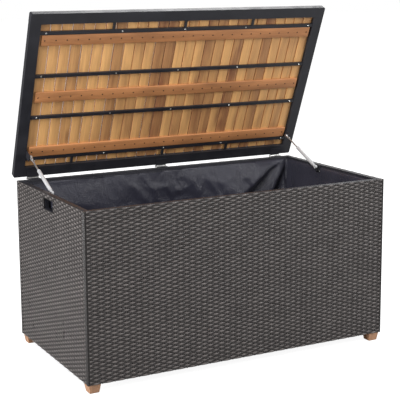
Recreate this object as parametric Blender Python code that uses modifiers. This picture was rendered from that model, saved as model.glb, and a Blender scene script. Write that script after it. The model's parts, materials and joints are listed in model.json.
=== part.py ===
"""Woven deck storage box with a slatted, strut-held lid, modelled as its separate pieces."""

from math import atan2, cos, hypot, radians, sin

import bmesh
import bpy
from mathutils import Matrix, Vector

MM = 0.001
GAP = 0.3 * MM                    # room kept between pieces that touch
COLLECTION_NAME = "deck_storage_box"

# Box body
BODY_WIDTH = 1184 * MM
BODY_DEPTH = 650 * MM
FOOT_HEIGHT = 31 * MM
BODY_HEIGHT = 584 * MM
RIM_Z = FOOT_HEIGHT + BODY_HEIGHT
SKIN = 6 * MM                     # woven skin on the outside of each panel
TUBE = 17.5 * MM                  # square tube of the panel frames
TOP_RAIL = 16 * MM                # side frames' top rail, over the hand hole
HAND_RAIL = 14 * MM               # rail under the hand hole
HAND_POST = 12 * MM
HAND_HOLE_WIDTH = 88 * MM
HAND_HOLE_HEIGHT = 36 * MM
HAND_HOLE_DROP = 18 * MM          # from the rim to the hole's top edge
HAND_HOLE_REVEAL = 2 * MM         # the frame stands this far back from the skin's hole
BASE_BARS = 9
BASE_BAR = 20 * MM
LINER_WALL = 2 * MM
LINER_DROP = 8 * MM               # the liner's hem hangs this far under the rim
FOOT_TOP = 45 * MM
FOOT_BOTTOM = 35 * MM
FOOT_INSET = 5 * MM

# Lid, measured along it from its hinge edge and up from its underside
LID_WIDTH = 1200 * MM
LID_LENGTH = 655 * MM
LID_THICKNESS = 21 * MM
LID_MEMBER = 40 * MM
LID_WALL = 2 * MM
LID_CORNER = 6 * MM
LID_OPEN = radians(67.2)
CROSS_BAR = 12 * MM
CROSS_BARS = [75 * MM, 247 * MM, 413 * MM, 580 * MM]
CROSS_BAR_BOTTOM = 1.7 * MM
BAR_TOP = 10.3 * MM
STUB = 9 * MM
REAR_STUBS = [-376 * MM, 3 * MM, 288 * MM]
FRONT_STUBS = [-283 * MM, 3 * MM, 289 * MM]
BATTEN = 42 * MM
BATTEN_BOTTOM = 2.2 * MM
BATTEN_LENGTH = 1102 * MM
BATTENS = {"rear": 103 * MM, "middle": 328 * MM, "front": 552 * MM}
SLATS = 27
SLAT_PITCH = 41.5 * MM
SLAT_WIDTH = 39.2 * MM
SLAT_BOTTOM = 10.6 * MM
SLAT_TOP = 19.8 * MM
SLAT_END_GAP = 2 * MM
DRAIN_RADIUS = 2.5 * MM

# Hinges: the pin stands behind the back panel, level with the top of its leaf
HINGES = {"left": -525 * MM, "middle": 3 * MM, "right": 527 * MM}
HINGE_WIDTH = 45 * MM
LEAF_DEPTH = 32 * MM
LEAF = 1.8 * MM
BARREL_RADIUS = 4 * MM
PIN_RADIUS = 2 * MM
PIN_CLEARANCE = 0.1 * MM
PIN_HEAD = 1.2 * MM
KNUCKLE_GAP = 0.4 * MM
PIVOT_BEHIND = 9.5 * MM
PIVOT_ABOVE = 2.3 * MM
LID_EDGE = 5.5 * MM               # from the pin forward to the closed lid's rear edge
LID_LIFT = 2.3 * MM               # from the pin up to the closed lid's underside

# Gas struts, one inside each end
STRUT_X = 551 * MM
LOWER_FORWARD = 262 * MM          # lower pivot, forward of the back face
LOWER_DROP = 8 * MM               # and below the rim
UPPER_ALONG = 103 * MM            # upper pivot, along the lid from the pin
UPPER_UNDER = 19 * MM             # and below the pin's level when closed
STRUT_BODY_RADIUS = 7.5 * MM
STRUT_ROD_RADIUS = 3 * MM
STRUT_BORE_RADIUS = 6 * MM
PISTON_RADIUS = 5.9 * MM
PISTON_LENGTH = 6 * MM
EYE_RADIUS = 7 * MM
EYE_WIDTH = 10 * MM
EYE_COLLAR = 20 * MM              # from the upper eye's centre to where the bare rod starts
CLOSED_ROD = 3 * MM               # bare rod that still shows with the lid shut
STUD_RADIUS = 4 * MM
STUD_CLEARANCE = 0.15 * MM
BRACKET = 2.5 * MM
TAB = 3.2 * MM

# Where things are, worked out from the sizes above
REAR_REACH = (PIVOT_BEHIND - LID_EDGE * cos(LID_OPEN)
              + (LID_LIFT + LID_THICKNESS) * sin(LID_OPEN))
BACK_Y = (BODY_DEPTH - REAR_REACH) / 2        # puts the origin under the middle of the open box
FRONT_Y = BACK_Y - BODY_DEPTH
MIDDLE_Y = BACK_Y - BODY_DEPTH / 2
HALF_WIDTH = BODY_WIDTH / 2
FRAME_OUT = SKIN + GAP
FRAME_IN = FRAME_OUT + TUBE
PIVOT = Vector((0, BACK_Y + PIVOT_BEHIND, RIM_Z + PIVOT_ABOVE))
LOWER_PIVOT = Vector((0, BACK_Y - LOWER_FORWARD, RIM_Z - LOWER_DROP))
SEGMENTS = 24

COLOURS = {                       # name: (colour, metallic, roughness)
    "frame_black": ((0.035, 0.036, 0.040), 0.4, 0.45),
    "resin_weave": ((0.085, 0.075, 0.070), 0.0, 0.55),
    "acacia": ((0.45, 0.22, 0.10), 0.0, 0.5),
    "liner_grey": ((0.075, 0.077, 0.090), 0.0, 0.7),
    "strut_grey": ((0.55, 0.55, 0.56), 0.6, 0.35),
    "zinc": ((0.42, 0.43, 0.41), 0.9, 0.4),
}


def make_material(name):
    """Give the Principled material of one finish."""
    colour, metallic, roughness = COLOURS[name]
    material = bpy.data.materials.new(name)
    material.use_nodes = True
    shader = material.node_tree.nodes["Principled BSDF"]
    shader.inputs["Base Color"].default_value = (*colour, 1)
    shader.inputs["Metallic"].default_value = metallic
    shader.inputs["Roughness"].default_value = roughness
    return material


def add_object(name, mesh, material=None, parent=None, location=(0, 0, 0), smooth=False):
    """Place a mesh as a part, or as a cutter when it has no material."""
    obj = bpy.data.objects.new(name, mesh)
    obj.location = location
    obj.parent = parent
    if smooth:
        mesh.shade_smooth()
        mesh.set_sharp_from_angle(angle=radians(35))
    if material:
        own = make_material(material)
        own.name = name + "_" + material
        mesh.materials.append(own)
        bpy.data.collections[COLLECTION_NAME].objects.link(obj)
    else:
        obj.hide_render = True
        obj.display_type = "WIRE"
        bpy.data.collections["cutters"].objects.link(obj)
    return obj


def box_mesh(name, boxes):
    """Make one mesh of boxes, each given by its lowest and highest corners."""
    bm = bmesh.new()
    for low, high in boxes:
        low, high = Vector(low), Vector(high)
        place = Matrix.LocRotScale((low + high) / 2, None, high - low)
        bmesh.ops.create_cube(bm, size=1, matrix=place)
    mesh = bpy.data.meshes.new(name)
    bm.to_mesh(mesh)
    bm.free()
    return mesh


def rods_mesh(name, rods, axis="X"):
    """Make one mesh of cylinders, each given by (centre, radius, length)."""
    turn = {"X": Matrix.Rotation(radians(90), 4, "Y"), "Z": Matrix.Identity(4)}[axis]
    bm = bmesh.new()
    for centre, radius, length in rods:
        bmesh.ops.create_cone(bm, cap_ends=True, segments=SEGMENTS, radius1=radius,
                              radius2=radius, depth=length,
                              matrix=Matrix.Translation(centre) @ turn)
    mesh = bpy.data.meshes.new(name)
    bm.to_mesh(mesh)
    bm.free()
    return mesh


def turned_mesh(name, profile):
    """Make the open profile that a Screw modifier turns about Z."""
    mesh = bpy.data.meshes.new(name)
    bm = bmesh.new()
    verts = [bm.verts.new((radius, 0, height)) for radius, height in profile]
    for start, end in zip(verts, verts[1:]):
        bm.edges.new((start, end))
    bm.to_mesh(mesh)
    bm.free()
    return mesh


def turn(obj):
    """Turn an object's profile into a closed solid of revolution."""
    screw = obj.modifiers.new("Turn", "SCREW")
    screw.axis = "Z"
    screw.steps = SEGMENTS
    screw.render_steps = SEGMENTS
    screw.use_merge_vertices = True
    screw.merge_threshold = 0.00005
    screw.use_smooth_shade = True


def combine(obj, other, operation):
    """Add a Boolean of another object to an object."""
    boolean = obj.modifiers.new(operation.title(), "BOOLEAN")
    boolean.operation = operation
    boolean.solver = "EXACT"
    boolean.object = other


def cut(obj, mesh):
    """Cut a mesh, placed as the object is, out of the object."""
    cutter = add_object("cut_" + mesh.name, mesh, parent=obj.parent, location=obj.location)
    combine(obj, cutter, "DIFFERENCE")


def weld(obj, mesh):
    """Weld a mesh, placed as the object is, to the object."""
    piece = add_object("weld_" + mesh.name, mesh, parent=obj.parent, location=obj.location)
    combine(obj, piece, "UNION")


def bevel(obj, width, segments=1):
    """Round an object's edges."""
    modifier = obj.modifiers.new("Edges", "BEVEL")
    modifier.width = width
    modifier.segments = segments
    modifier.limit_method = "ANGLE"
    modifier.angle_limit = radians(40)


def centred_box(size):
    """Give the corners of a box about the origin."""
    half = Vector(size) / 2
    return (-half, half)


def add_long_panels():
    """Make the front and back: a frame with three windows, and the woven skin outside it."""
    inner = HALF_WIDTH - FRAME_IN
    window = (2 * inner - 2 * TUBE) / 3
    for side, face_y, inward in (("front", FRONT_Y, 1), ("back", BACK_Y, -1)):
        size = (BODY_WIDTH, SKIN, BODY_HEIGHT)
        place = (0, face_y + inward * SKIN / 2, FOOT_HEIGHT + BODY_HEIGHT / 2)
        add_object(side + "_wicker", box_mesh(side + "_wicker", [centred_box(size)]),
                   "resin_weave", location=place)
        size = (2 * (HALF_WIDTH - FRAME_OUT), TUBE, BODY_HEIGHT)
        place = (0, face_y + inward * (FRAME_OUT + TUBE / 2), place[2])
        frame = add_object(side + "_panel_frame",
                           box_mesh(side + "_panel_frame", [centred_box(size)]),
                           "frame_black", location=place)
        windows = []
        for index in range(3):
            left = -inner + index * (window + TUBE)
            low = (left, -TUBE, TUBE - BODY_HEIGHT / 2)
            windows.append((low, (left + window, TUBE, BODY_HEIGHT / 2 - TUBE)))
        cut(frame, box_mesh(side + "_windows", windows))


def add_end_panels():
    """Make the two ends: frame and skin, with the hand hole through both."""
    middle_z = FOOT_HEIGHT + BODY_HEIGHT / 2
    hole_top = BODY_HEIGHT / 2 - HAND_HOLE_DROP
    hole_bottom = hole_top - HAND_HOLE_HEIGHT
    half_hole = HAND_HOLE_WIDTH / 2
    for side, outward in (("left", -1), ("right", 1)):
        size = (SKIN, BODY_DEPTH - 2 * FRAME_OUT, BODY_HEIGHT)
        place = (outward * (HALF_WIDTH - SKIN / 2), MIDDLE_Y, middle_z)
        skin = add_object(side + "_wicker", box_mesh(side + "_wicker", [centred_box(size)]),
                          "resin_weave", location=place)
        hole = [((-TUBE, -half_hole, hole_bottom), (TUBE, half_hole, hole_top))]
        cut(skin, box_mesh(side + "_hand_hole", hole))

        half_depth = BODY_DEPTH / 2 - FRAME_IN - GAP
        size = (TUBE, 2 * half_depth, BODY_HEIGHT)
        place = (outward * (HALF_WIDTH - FRAME_OUT - TUBE / 2), MIDDLE_Y, middle_z)
        frame = add_object(side + "_end_frame",
                           box_mesh(side + "_end_frame", [centred_box(size)]),
                           "frame_black", location=place)
        upper_top = BODY_HEIGHT / 2 - TOP_RAIL
        upper_bottom = hole_bottom - HAND_HOLE_REVEAL
        lower_top = upper_bottom - HAND_RAIL
        end = half_depth - TUBE
        clear = half_hole + HAND_HOLE_REVEAL
        windows = [((-TUBE, -end, TUBE - BODY_HEIGHT / 2), (TUBE, end, lower_top)),
                   ((-TUBE, -clear, upper_bottom), (TUBE, clear, upper_top)),
                   ((-TUBE, -end, upper_bottom), (TUBE, -clear - HAND_POST, upper_top)),
                   ((-TUBE, clear + HAND_POST, upper_bottom), (TUBE, end, upper_top))]
        cut(frame, box_mesh(side + "_end_windows", windows))


def add_base():
    """Make the base frame with its row of bars, the liner bag that lies on it, and the feet."""
    half_x = HALF_WIDTH - FRAME_IN - GAP
    half_y = BODY_DEPTH / 2 - FRAME_IN - GAP
    frame = add_object("base_frame",
                       box_mesh("base_frame", [centred_box((2 * half_x, 2 * half_y, TUBE))]),
                       "frame_black", location=(0, MIDDLE_Y, FOOT_HEIGHT + TUBE / 2))
    gaps = BASE_BARS + 1
    gap = (2 * (half_x - TUBE) - BASE_BARS * BASE_BAR) / gaps
    windows = []
    for index in range(gaps):
        left = -half_x + TUBE + index * (gap + BASE_BAR)
        windows.append(((left, TUBE - half_y, -TUBE), (left + gap, half_y - TUBE, TUBE)))
    cut(frame, box_mesh("base_windows", windows))

    bottom = FOOT_HEIGHT + TUBE + GAP
    height = RIM_Z - LINER_DROP - bottom
    mesh = box_mesh("liner_bag", [centred_box((2 * half_x, 2 * half_y, height))])
    bm = bmesh.new()
    bm.from_mesh(mesh)
    top = [face for face in bm.faces if face.normal.z > 0.5]
    bmesh.ops.delete(bm, geom=top, context="FACES_ONLY")
    bm.to_mesh(mesh)
    bm.free()
    liner = add_object("liner_bag", mesh, "liner_grey",
                       location=(0, MIDDLE_Y, bottom + height / 2))
    wall = liner.modifiers.new("Wall", "SOLIDIFY")
    wall.thickness = LINER_WALL
    wall.offset = -1
    wall.use_even_offset = True

    foot_x = HALF_WIDTH - FOOT_INSET - FOOT_TOP / 2
    foot_y = BODY_DEPTH / 2 - FOOT_INSET - FOOT_TOP / 2
    height = FOOT_HEIGHT - GAP
    for end, y in (("front", MIDDLE_Y - foot_y), ("back", MIDDLE_Y + foot_y)):
        for side, x in (("left", -foot_x), ("right", foot_x)):
            name = "foot_" + end + "_" + side
            mesh = box_mesh(name, [centred_box((FOOT_TOP, FOOT_TOP, height))])
            for vertex in mesh.vertices:
                if vertex.co.z < 0:
                    vertex.co.x *= FOOT_BOTTOM / FOOT_TOP
                    vertex.co.y *= FOOT_BOTTOM / FOOT_TOP
            foot = add_object(name, mesh, "acacia", location=(x, y, height / 2))
            bevel(foot, 2 * MM)


def add_lid(pivot):
    """Make the lid on its pivot, which has X along the pin, -Y forward and Z up when shut."""
    def at(x, along, height):
        return Vector((x, -(LID_EDGE + along), LID_LIFT + height))

    half = LID_WIDTH / 2
    inside = half - LID_MEMBER
    far = LID_LENGTH
    outline = box_mesh("lid_frame", [(at(-half, far, 0), at(half, 0, LID_THICKNESS))])
    bm = bmesh.new()
    bm.from_mesh(outline)
    corners = [edge for edge in bm.edges
               if abs(edge.verts[0].co.z - edge.verts[1].co.z) > LID_THICKNESS / 2]
    bmesh.ops.bevel(bm, geom=corners, offset=LID_CORNER, segments=4, profile=0.5,
                    affect="EDGES")
    bm.to_mesh(outline)
    bm.free()
    frame = add_object("lid_frame", outline, "frame_black", parent=pivot)
    cut(frame, box_mesh("lid_window", [(at(-inside, far - LID_MEMBER, -TUBE),
                                        at(inside, LID_MEMBER, 2 * LID_THICKNESS))]))

    # The frame is a tube: a ring-shaped hollow with drain holes in its underside
    wall = LID_WALL
    hollow = add_object("lid_hollow",
                        box_mesh("lid_hollow",
                                 [(at(wall - half, far - wall, wall),
                                   at(half - wall, wall, LID_THICKNESS - wall))]),
                        parent=pivot)
    cut(hollow, box_mesh("lid_hollow_core",
                         [(at(-inside - wall, far - LID_MEMBER + wall, 0),
                           at(inside + wall, LID_MEMBER - wall, LID_THICKNESS))]))
    combine(frame, hollow, "DIFFERENCE")
    drain_x = inside / 2
    drains = [(at(x, LID_MEMBER / 2, 0), DRAIN_RADIUS, 3 * wall) for x in (-drain_x, drain_x)]
    cut(frame, rods_mesh("lid_drains", drains, axis="Z"))

    # Cross bars, the short stubs that tie the outer bars to the frame, and the strut tabs
    bite = wall / 2
    bars = []
    for along in CROSS_BARS:
        low = at(-inside - bite, along + CROSS_BAR / 2, CROSS_BAR_BOTTOM)
        bars.append((low, at(inside + bite, along - CROSS_BAR / 2, BAR_TOP)))
    weld(frame, box_mesh("lid_bars", bars))
    stubs = []
    rows = [(REAR_STUBS, LID_MEMBER - bite, CROSS_BARS[0]),
            (FRONT_STUBS, CROSS_BARS[-1], far - LID_MEMBER + bite)]
    stub_low = CROSS_BAR_BOTTOM + 1 * MM
    stub_top = BAR_TOP - 1 * MM
    for places, start, end in rows:
        for x in places:
            low = at(x - STUB / 2, end, stub_low)
            stubs.append((low, at(x + STUB / 2, start, stub_top)))
    weld(frame, box_mesh("lid_stubs", stubs))
    tabs, studs = [], []
    tab_low, tab_top = -UPPER_UNDER - 9 * MM, SLAT_BOTTOM - 1 * MM
    for side in (-1, 1):
        xs = sorted((side * (inside - TAB), side * (inside + bite / 2)))
        tabs.append(((xs[0], -UPPER_ALONG - 13 * MM, tab_low),
                     (xs[1], -UPPER_ALONG + 13 * MM, tab_top)))
        stud_start = inside - TAB - 1.2 * MM
        centre = (side * (stud_start + inside - 1 * MM) / 2, -UPPER_ALONG, -UPPER_UNDER)
        studs.append((centre, STUD_RADIUS, inside - 1 * MM - stud_start))
    weld(frame, box_mesh("lid_tabs", tabs))
    weld(frame, rods_mesh("lid_studs", studs))

    for name, along in BATTENS.items():
        low = at(-BATTEN_LENGTH / 2, along + BATTEN / 2, BATTEN_BOTTOM)
        high = at(BATTEN_LENGTH / 2, along - BATTEN / 2, BAR_TOP)
        centre = (low + high) / 2
        batten = add_object("lid_batten_" + name,
                            box_mesh("lid_batten_" + name, [(low - centre, high - centre)]),
                            "acacia", parent=pivot, location=centre)
        bevel(batten, 1.2 * MM)
    for index in range(SLATS):
        x = (index - (SLATS - 1) / 2) * SLAT_PITCH
        low = at(x - SLAT_WIDTH / 2, far - LID_MEMBER - SLAT_END_GAP, SLAT_BOTTOM)
        high = at(x + SLAT_WIDTH / 2, LID_MEMBER + SLAT_END_GAP, SLAT_TOP)
        centre = (low + high) / 2
        name = "lid_slat_%02d" % (index + 1)
        slat = add_object(name, box_mesh(name, [(low - centre, high - centre)]), "acacia",
                          parent=pivot, location=centre)
        bevel(slat, 1.2 * MM)


def add_hinge_leaf(name, pivot, x, knuckles, level):
    """Make a leaf on the pin's axis: its plate, forward of the pin, and its knuckles."""
    half = HINGE_WIDTH / 2
    root = BARREL_RADIUS + 0.6 * MM
    leaf = add_object(name,
                      box_mesh(name, [((-half, -LEAF_DEPTH, level),
                                       (half, -root, level + LEAF))]),
                      "zinc", parent=pivot, location=(x, 0, 0), smooth=True)
    tongues = [((start, -root - 1 * MM, level), (end, 0, level + LEAF))
               for start, end in knuckles]
    weld(leaf, box_mesh(name + "_tongues", tongues))
    barrels = [(((start + end) / 2, 0, 0), BARREL_RADIUS, end - start)
               for start, end in knuckles]
    weld(leaf, rods_mesh(name + "_knuckles", barrels))
    bore = [((0, 0, 0), PIN_RADIUS + PIN_CLEARANCE, 2 * HINGE_WIDTH)]
    cut(leaf, rods_mesh(name + "_bore", bore))


def add_hinges(lid_pivot):
    """Make the three hinges: a leaf on the rim, a leaf under the lid, and a headed pin."""
    half = HINGE_WIDTH / 2
    third = half / 3
    outer = [(-half, -third - KNUCKLE_GAP / 2), (third + KNUCKLE_GAP / 2, half)]
    middle = [(-third + KNUCKLE_GAP / 2, third - KNUCKLE_GAP / 2)]
    box_pivot = bpy.data.objects.new("hinge_line", None)
    box_pivot.location = PIVOT
    bpy.data.collections[COLLECTION_NAME].objects.link(box_pivot)
    for side, x in HINGES.items():
        add_hinge_leaf("hinge_" + side + "_box_leaf", box_pivot, x, outer,
                       GAP - PIVOT_ABOVE)
        add_hinge_leaf("hinge_" + side + "_lid_leaf", lid_pivot, x, middle,
                       LID_LIFT - GAP - LEAF)
        name = "hinge_" + side + "_pin"
        pin = add_object(name, rods_mesh(name, [((0, 0, 0), PIN_RADIUS,
                                                 HINGE_WIDTH + PIN_HEAD)]),
                         "zinc", parent=box_pivot, location=(x, 0, 0), smooth=True)
        heads = [((sign * (half + GAP + PIN_HEAD / 2), 0, 0), PIN_RADIUS + 1 * MM, PIN_HEAD)
                 for sign in (-1, 1)]
        weld(pin, rods_mesh(name + "_heads", heads))


def upper_pivot(opening):
    """Give the upper strut pivot, in the YZ plane, with the lid open by an angle."""
    return PIVOT + Vector((0,
                           -UPPER_ALONG * cos(opening) - UPPER_UNDER * sin(opening),
                           UPPER_ALONG * sin(opening) - UPPER_UNDER * cos(opening)))


def add_struts():
    """Make the two gas struts, lying along local Z from the lower pivot, and their brackets."""
    reach = upper_pivot(LID_OPEN) - LOWER_PIVOT
    open_length = hypot(reach.y, reach.z)
    shut = upper_pivot(0) - LOWER_PIVOT
    stroke = open_length - hypot(shut.y, shut.z)
    body_top = open_length - EYE_COLLAR - CLOSED_ROD - stroke
    body_bottom = EYE_RADIUS - 1 * MM
    neck = body_top - 8 * MM
    piston_top = neck - 3 * MM
    piston_bottom = piston_top - PISTON_LENGTH
    body_profile = [(0, body_bottom + 6 * MM), (STRUT_BORE_RADIUS, body_bottom + 6 * MM),
                    (STRUT_BORE_RADIUS, neck), (STRUT_ROD_RADIUS + PIN_CLEARANCE, neck),
                    (STRUT_ROD_RADIUS + PIN_CLEARANCE, body_top),
                    (STRUT_BODY_RADIUS - 1.5 * MM, body_top),
                    (STRUT_BODY_RADIUS, body_top - 1.5 * MM),
                    (STRUT_BODY_RADIUS, body_bottom + 3 * MM),
                    (STRUT_BODY_RADIUS - 2 * MM, body_bottom), (0, body_bottom)]
    collar = 4.5 * MM
    rod_profile = [(0, open_length - 4 * MM), (collar, open_length - 4 * MM),
                   (collar, open_length - EYE_COLLAR),
                   (STRUT_ROD_RADIUS, open_length - EYE_COLLAR),
                   (STRUT_ROD_RADIUS, piston_top), (PISTON_RADIUS, piston_top),
                   (PISTON_RADIUS, piston_bottom), (0, piston_bottom)]
    lean = atan2(reach.z, reach.y) - radians(90)
    for side, sign in (("left", -1), ("right", 1)):
        axis = bpy.data.objects.new("strut_" + side + "_axis", None)
        axis.location = (sign * STRUT_X, LOWER_PIVOT.y, LOWER_PIVOT.z)
        axis.rotation_euler = (lean, 0, 0)
        bpy.data.collections[COLLECTION_NAME].objects.link(axis)

        name = "strut_" + side + "_cylinder"
        body = add_object(name, turned_mesh(name, body_profile), "strut_grey", parent=axis)
        turn(body)
        weld(body, rods_mesh(name + "_eye", [((0, 0, 0), EYE_RADIUS, EYE_WIDTH)]))
        bore_end = -EYE_WIDTH / 4
        bore = [((sign * (EYE_WIDTH + bore_end) / 2, 0, 0), STUD_RADIUS + STUD_CLEARANCE,
                 EYE_WIDTH - bore_end)]
        cut(body, rods_mesh(name + "_bore", bore))

        name = "strut_" + side + "_rod"
        rod = add_object(name, turned_mesh(name, rod_profile), "strut_grey", parent=axis)
        turn(rod)
        tab_face = LID_WIDTH / 2 - LID_MEMBER - TAB
        eye_out = tab_face - 1.6 * MM - STRUT_X
        eye_centre = sign * (eye_out - EYE_WIDTH / 2) / 2
        weld(rod, rods_mesh(name + "_eye", [((eye_centre, 0, open_length), EYE_RADIUS,
                                             eye_out + EYE_WIDTH / 2)]))

        name = "strut_" + side + "_bracket"
        plate_out = HALF_WIDTH - FRAME_IN - 2 * GAP - LINER_WALL
        xs = sorted((sign * plate_out, sign * (plate_out - BRACKET)))
        low = (xs[0], LOWER_PIVOT.y - 16 * MM, LOWER_PIVOT.z - 24 * MM)
        high = (xs[1], LOWER_PIVOT.y + 16 * MM, LOWER_PIVOT.z + 7 * MM)
        plate = add_object(name, box_mesh(name, [(low, high)]), "frame_black")
        bevel(plate, 0.8 * MM)
        stud_end = STRUT_X + bore_end + 0.5 * MM
        stud_start = plate_out - BRACKET / 2
        stud = [((sign * (stud_start + stud_end) / 2, LOWER_PIVOT.y, LOWER_PIVOT.z),
                 STUD_RADIUS, stud_start - stud_end)]
        weld(plate, rods_mesh(name + "_stud", stud))


def main():
    """Build the whole box."""
    for obj in list(bpy.data.objects):
        bpy.data.objects.remove(obj)
    for name in (COLLECTION_NAME, "cutters"):
        bpy.context.scene.collection.children.link(bpy.data.collections.new(name))
    lid_pivot = bpy.data.objects.new("lid_pivot", None)
    lid_pivot.location = PIVOT
    lid_pivot.rotation_euler = (-LID_OPEN, 0, 0)
    bpy.data.collections[COLLECTION_NAME].objects.link(lid_pivot)
    add_long_panels()
    add_end_panels()
    add_base()
    add_lid(lid_pivot)
    add_hinges(lid_pivot)
    add_struts()


main()
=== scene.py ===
"""Deck storage box: woven resin sides on tube frames, a hung liner and a slatted lid on struts."""

import json
from math import atan2, cos, hypot, pi, radians, sin

import bmesh
import bpy
import numpy as np
from mathutils import Matrix, Vector, noise


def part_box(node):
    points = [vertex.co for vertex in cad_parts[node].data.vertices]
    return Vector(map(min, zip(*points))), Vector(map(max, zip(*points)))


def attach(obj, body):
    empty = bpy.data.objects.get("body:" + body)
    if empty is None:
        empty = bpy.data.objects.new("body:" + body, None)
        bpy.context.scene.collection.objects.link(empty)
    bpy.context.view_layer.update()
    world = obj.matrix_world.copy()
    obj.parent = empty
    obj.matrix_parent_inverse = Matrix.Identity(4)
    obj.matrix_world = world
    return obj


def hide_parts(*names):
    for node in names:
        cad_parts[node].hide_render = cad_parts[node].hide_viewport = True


bl_info = {
    "name": "Deck Storage Box",
    "version": (1, 0, 0),
    "blender": (4, 5, 0),
    "location": "View3D > Sidebar > Deck Box",
    "description": "Dresses a deck storage box: woven sides, slatted lid, liner and struts",
    "category": "Add Mesh",
}

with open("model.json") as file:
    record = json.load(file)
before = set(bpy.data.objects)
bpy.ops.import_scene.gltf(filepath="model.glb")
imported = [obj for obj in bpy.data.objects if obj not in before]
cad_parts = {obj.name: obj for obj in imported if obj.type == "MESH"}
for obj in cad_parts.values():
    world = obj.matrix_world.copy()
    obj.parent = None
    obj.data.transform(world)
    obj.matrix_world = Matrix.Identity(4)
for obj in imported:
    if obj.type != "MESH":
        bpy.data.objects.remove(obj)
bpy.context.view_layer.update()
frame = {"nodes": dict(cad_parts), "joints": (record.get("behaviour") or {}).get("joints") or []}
MM = 0.001
JOINTS = {joint["name"]: joint for joint in frame["joints"]}

# Places read from the frame
BODY_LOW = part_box("front_wicker")[0]
BODY_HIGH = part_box("back_wicker")[1]
MIDDLE_Y = (BODY_LOW.y + BODY_HIGH.y) / 2
FOOT_HEIGHT, RIM_Z = BODY_LOW.z, BODY_HIGH.z
HALF_WIDTH = BODY_HIGH.x
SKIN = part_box("front_wicker")[1].y - BODY_LOW.y
END_LOW, END_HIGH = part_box("left_wicker")
LINER_LOW, LINER_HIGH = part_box("liner_bag")
PIVOT = Vector(JOINTS["lid_hinge"]["pos_m"])
LID_OPEN = radians(JOINTS["lid_hinge"]["range_deg"][1])
LID_PLACE = Matrix.Translation(PIVOT) @ Matrix.Rotation(-LID_OPEN, 4, "X")

# The lid, measured along it from its hinge edge and up from its underside when shut
LID_EDGE = 5.5 * MM
LID_LIFT = 2.3 * MM
LID_LENGTH = 655 * MM
LID_MEMBER = 40 * MM
BAR_ALONG = [75 * MM, 247 * MM, 413 * MM, 580 * MM]
BAR_BOTTOM = 1.7 * MM
BAR_SCREW_X = [-537 * MM, -249 * MM, 4 * MM, 260 * MM, 542 * MM]
BATTENS = {"rear": 103 * MM, "middle": 328 * MM, "front": 552 * MM}
BATTEN_WIDTH = 42 * MM
BATTEN_BOTTOM = 2.2 * MM
BATTEN_TOP = 10.3 * MM
BATTEN_LENGTH = 1102 * MM
SLATS = 27
SLAT_PITCH = 41.5 * MM
SLAT_WIDTH = 39.2 * MM
SLAT_BOTTOM = 10.6 * MM
SLAT_TOP = 19.8 * MM
SLAT_END_GAP = 2 * MM
DARK_SLATS = {1: 0.42, 4: 0.55, 5: 0.2, 8: 0.85, 10: 0.35, 12: 0.7, 13: 0.8, 15: 0.3,
              17: 0.75, 18: 0.65, 20: 0.85, 22: 0.4, 23: 0.8, 26: 0.35}

# The end faces' hand hole
HOLE_HALF = 44 * MM
HOLE_LOW, HOLE_TOP = RIM_Z - 54 * MM, RIM_Z - 18 * MM

# Gas struts
STRUT_LENGTH = 235.39 * MM
EYE_RADIUS = 7 * MM
TAB_FACE = 556.8 * MM


# ---------------------------------------------------------------- settings

def size_property(label, text, default):
    """A length that a user may change."""
    return bpy.props.FloatProperty(name=label, description=text, default=default,
                                   min=0.0, unit="LENGTH", subtype="DISTANCE")


def colour_property(label, text, default):
    """A linear colour that a user may change."""
    return bpy.props.FloatVectorProperty(name=label, description=text, default=default,
                                         min=0.0, max=1.0, size=3, subtype="COLOR")


def power_property(label, text, default, unit="POWER"):
    """A light's power, or a plain strength, that a user may change."""
    return bpy.props.FloatProperty(name=label, description=text, default=default, min=0.0,
                                   unit=unit)


class DeckBoxWeave(bpy.types.PropertyGroup):
    """Sizes and colours of the woven faces."""
    rows: bpy.props.IntProperty(name="Rows", default=82, min=8,
                                description="Strands from the bottom edge to the rim")
    stake_pitch: size_property("Stake Pitch", "Distance between upright stakes", 22.4 * MM)
    strand_thickness: size_property("Strand Thickness", "Thickness of a flat strand", 2.2 * MM)
    sway: size_property("Sway", "How far a strand swings to each side of the stakes", 1.7 * MM)
    # Light Strand and Dark Strand bound the strand colour: between them run each strand's random
    # tone, its ribs, and a painted highlight where it stands forward and painted shade where it
    # sinks back
    light: colour_property("Light Strand", "Colour of the paler strands", (0.166, 0.147, 0.141))
    dark: colour_property("Dark Strand", "Colour of the darker strands", (0.040, 0.035, 0.034))


class DeckBoxLid(bpy.types.PropertyGroup):
    """Colours and edges of the lid."""
    edge: size_property("Board Edge", "Rounding along the boards", 1.6 * MM)
    coat: colour_property("Frame Coat", "Powder coat of the tubes", (0.014, 0.014, 0.018))
    pale: colour_property("Pale Wood", "Palest colour of the boards", (0.88, 0.49, 0.185))
    brown: colour_property("Brown Wood", "Darkest colour of the boards", (0.21, 0.074, 0.036))
    foot: colour_property("Foot Wood", "Palest colour of the feet", (0.57, 0.305, 0.17))
    red: colour_property("Batten Wood", "Colour of the battens", (0.64, 0.275, 0.105))


class DeckBoxLiner(bpy.types.PropertyGroup):
    """Sizes and colour of the liner bag."""
    fold: size_property("Fold Depth", "Deepest fold of the hung cloth", 14 * MM)
    hem: size_property("Hem", "Height of the hem band", 22 * MM)
    colour: colour_property("Cloth", "Colour of the liner cloth", (0.024, 0.024, 0.036))


class DeckBoxStage(bpy.types.PropertyGroup):
    """Floor and lights."""
    floor: colour_property("Floor", "Colour of the floor", (0.42, 0.42, 0.42))
    top: power_property("Top Power", "Power of the large light overhead", 125.0)
    key: power_property("Key Power", "Power of the light at the front right", 95.0)
    side: power_property("Side Power", "Power of the low light at the left end", 90.0)
    rear: power_property("Rear Power", "Power of the light behind", 90.0)
    sky: power_property("Sky", "Strength of the even light all round", 0.32, "NONE")
    glow: power_property("Floor Glow", "Evens the floor's white", 0.92, "NONE")


# ---------------------------------------------------------------- node helpers

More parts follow.
